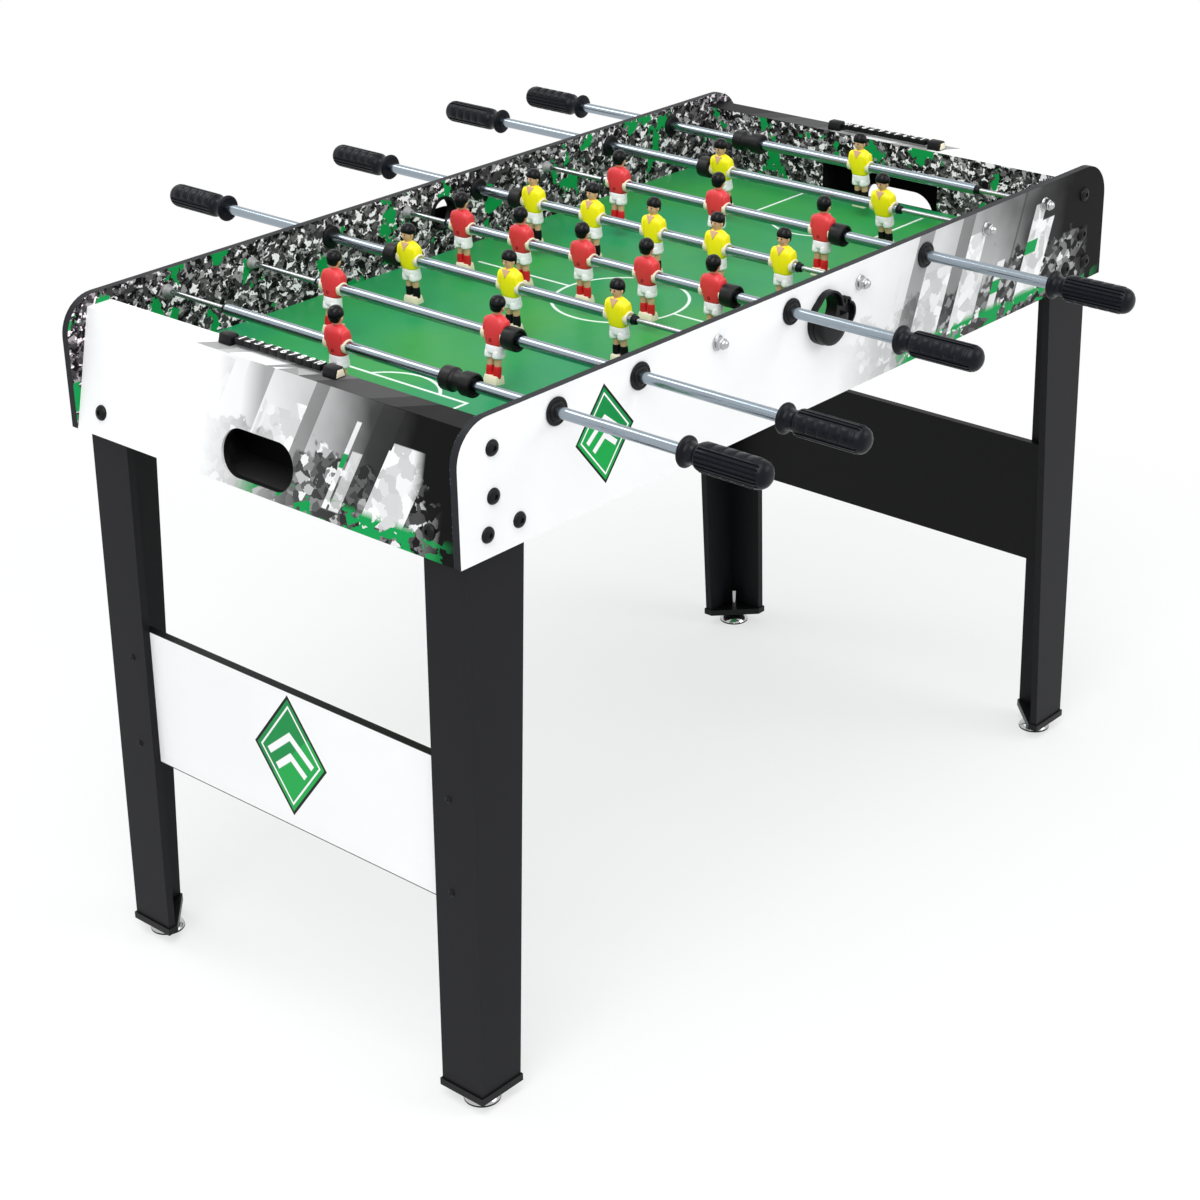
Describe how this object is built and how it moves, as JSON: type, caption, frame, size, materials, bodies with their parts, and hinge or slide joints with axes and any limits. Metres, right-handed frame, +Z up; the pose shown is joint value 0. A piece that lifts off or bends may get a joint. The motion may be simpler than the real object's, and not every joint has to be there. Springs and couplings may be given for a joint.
{
  "type": "foosball table",
  "caption": "Free-standing table football game with telescopic player rods, ball returns at both ends, bead scorers, splayed board legs and levelling feet.",
  "frame": {"origin": "floor level under the middle of the table", "axes": "+X along the table from the red goal to the yellow goal, +Y across it towards the side with the yellow handles, +Z up"},
  "size_m": [1.2, 1.212, 0.8462],
  "materials": {
    "printed_board": "printed foil on board, satin",
    "pitch": "printed foil on board, satin",
    "leg_board": "black foil on board, satin",
    "brace_board": "white foil on board, satin",
    "grey_plastic": "moulded, matt",
    "black_plastic": "moulded, matt",
    "bead_plastic": "moulded, semi-gloss",
    "chrome": "polished",
    "foot_chrome": "polished",
    "grip": "moulded grip, matt",
    "rubber": "matt",
    "red_men": "painted, semi-gloss",
    "yellow_men": "painted, semi-gloss"
  },
  "bodies": {
    "table": {"front_side_panel": "printed_board", "rear_side_panel": "printed_board", "end_panels": "printed_board", "goal_walls": "printed_board", "playfield": "pitch", "ball_trays": "grey_plastic", "ball_entry_cups": "black_plastic", "legs": "leg_board", "leg_braces": "brace_board", "leg_caps": "black_plastic", "wall_bushings": "black_plastic", "inner_rods": "chrome", "score_frames": "black_plastic"},
    "near_scorer": {"near_score_beads": "bead_plastic"},
    "far_scorer": {"far_score_beads": "bead_plastic"},
    "red_goalie_slider": {"red_goalie_end_bush": "black_plastic"},
    "red_goalie_rod": {"red_goalie_tube": "chrome", "red_goalie_handle": "grip", "red_goalie_men": "red_men", "red_goalie_bumper": "rubber"},
    "red_defence_slider": {"red_defence_end_bush": "black_plastic"},
    "red_defence_rod": {"red_defence_tube": "chrome", "red_defence_handle": "grip", "red_defence_men": "red_men", "red_defence_bumper": "rubber"},
    "yellow_attack_slider": {"yellow_attack_end_bush": "black_plastic"},
    "yellow_attack_rod": {"yellow_attack_tube": "chrome", "yellow_attack_handle": "grip", "yellow_attack_men": "yellow_men", "yellow_attack_bumper": "rubber"},
    "red_midfield_slider": {"red_midfield_end_bush": "black_plastic"},
    "red_midfield_rod": {"red_midfield_tube": "chrome", "red_midfield_handle": "grip", "red_midfield_men": "red_men", "red_midfield_bumper": "rubber"},
    "yellow_midfield_slider": {"yellow_midfield_end_bush": "black_plastic"},
    "yellow_midfield_rod": {"yellow_midfield_tube": "chrome", "yellow_midfield_handle": "grip", "yellow_midfield_men": "yellow_men", "yellow_midfield_bumper": "rubber"},
    "red_attack_slider": {"red_attack_end_bush": "black_plastic"},
    "red_attack_rod": {"red_attack_tube": "chrome", "red_attack_handle": "grip", "red_attack_men": "red_men", "red_attack_bumper": "rubber"},
    "yellow_defence_slider": {"yellow_defence_end_bush": "black_plastic"},
    "yellow_defence_rod": {"yellow_defence_tube": "chrome", "yellow_defence_handle": "grip", "yellow_defence_men": "yellow_men", "yellow_defence_bumper": "rubber"},
    "yellow_goalie_slider": {"yellow_goalie_end_bush": "black_plastic"},
    "yellow_goalie_rod": {"yellow_goalie_tube": "chrome", "yellow_goalie_handle": "grip", "yellow_goalie_men": "yellow_men", "yellow_goalie_bumper": "rubber"},
    "foot_near_left": {"foot_near_left": "foot_chrome"},
    "foot_near_right": {"foot_near_right": "foot_chrome"},
    "foot_far_left": {"foot_far_left": "foot_chrome"},
    "foot_far_right": {"foot_far_right": "foot_chrome"}
  },
  "joints": [
    {"name": "red_goalie_slide", "type": "slide", "parent": "table", "child": "red_goalie_slider", "axis": [0, -1, 0], "range_m": [-0.0905, 0.0985]},
    {"name": "red_goalie_spin", "type": "hinge", "parent": "red_goalie_slider", "child": "red_goalie_rod", "pos_m": [-0.455, 0, 0.803], "axis": [0, -1, 0], "continuous": true},
    {"name": "red_defence_slide", "type": "slide", "parent": "table", "child": "red_defence_slider", "axis": [0, -1, 0], "range_m": [-0.1045, 0.1575]},
    {"name": "red_defence_spin", "type": "hinge", "parent": "red_defence_slider", "child": "red_defence_rod", "pos_m": [-0.325, 0, 0.803], "axis": [0, -1, 0], "continuous": true},
    {"name": "yellow_attack_slide", "type": "slide", "parent": "table", "child": "yellow_attack_slider", "axis": [0, 1, 0], "range_m": [-0.0935, 0.0985]},
    {"name": "yellow_attack_spin", "type": "hinge", "parent": "yellow_attack_slider", "child": "yellow_attack_rod", "pos_m": [-0.195, 0, 0.803], "axis": [0, 1, 0], "continuous": true},
    {"name": "red_midfield_slide", "type": "slide", "parent": "table", "child": "red_midfield_slider", "axis": [0, -1, 0], "range_m": [-0.0605, 0.0615]},
    {"name": "red_midfield_spin", "type": "hinge", "parent": "red_midfield_slider", "child": "red_midfield_rod", "pos_m": [-0.065, 0, 0.803], "axis": [0, -1, 0], "continuous": true},
    {"name": "yellow_midfield_slide", "type": "slide", "parent": "table", "child": "yellow_midfield_slider", "axis": [0, 1, 0], "range_m": [-0.0625, 0.0595]},
    {"name": "yellow_midfield_spin", "type": "hinge", "parent": "yellow_midfield_slider", "child": "yellow_midfield_rod", "pos_m": [0.065, 0, 0.803], "axis": [0, 1, 0], "continuous": true},
    {"name": "red_attack_slide", "type": "slide", "parent": "table", "child": "red_attack_slider", "axis": [0, -1, 0], "range_m": [-0.0905, 0.1015]},
    {"name": "red_attack_spin", "type": "hinge", "parent": "red_attack_slider", "child": "red_attack_rod", "pos_m": [0.195, 0, 0.803], "axis": [0, -1, 0], "continuous": true},
    {"name": "yellow_defence_slide", "type": "slide", "parent": "table", "child": "yellow_defence_slider", "axis": [0, 1, 0], "range_m": [-0.1045, 0.1575]},
    {"name": "yellow_defence_spin", "type": "hinge", "parent": "yellow_defence_slider", "child": "yellow_defence_rod", "pos_m": [0.325, 0, 0.803], "axis": [0, 1, 0], "continuous": true},
    {"name": "yellow_goalie_slide", "type": "slide", "parent": "table", "child": "yellow_goalie_slider", "axis": [0, 1, 0], "range_m": [-0.0755, 0.1135]},
    {"name": "yellow_goalie_spin", "type": "hinge", "parent": "yellow_goalie_slider", "child": "yellow_goalie_rod", "pos_m": [0.455, 0, 0.803], "axis": [0, 1, 0], "continuous": true},
    {"name": "near_score_slide", "type": "slide", "parent": "table", "child": "near_scorer", "axis": [0, 1, 0], "range_m": [-0.0038, 0.0038]},
    {"name": "far_score_slide", "type": "slide", "parent": "table", "child": "far_scorer", "axis": [0, 1, 0], "range_m": [-0.0038, 0.0038]},
    {"name": "foot_near_left_height", "type": "slide", "parent": "table", "child": "foot_near_left", "axis": [0, 0, 1], "range_m": [-0.01, 0.0015]},
    {"name": "foot_near_right_height", "type": "slide", "parent": "table", "child": "foot_near_right", "axis": [0, 0, 1], "range_m": [-0.01, 0.0015]},
    {"name": "foot_far_left_height", "type": "slide", "parent": "table", "child": "foot_far_left", "axis": [0, 0, 1], "range_m": [-0.01, 0.0015]},
    {"name": "foot_far_right_height", "type": "slide", "parent": "table", "child": "foot_far_right", "axis": [0, 0, 1], "range_m": [-0.01, 0.0015]}
  ]
}
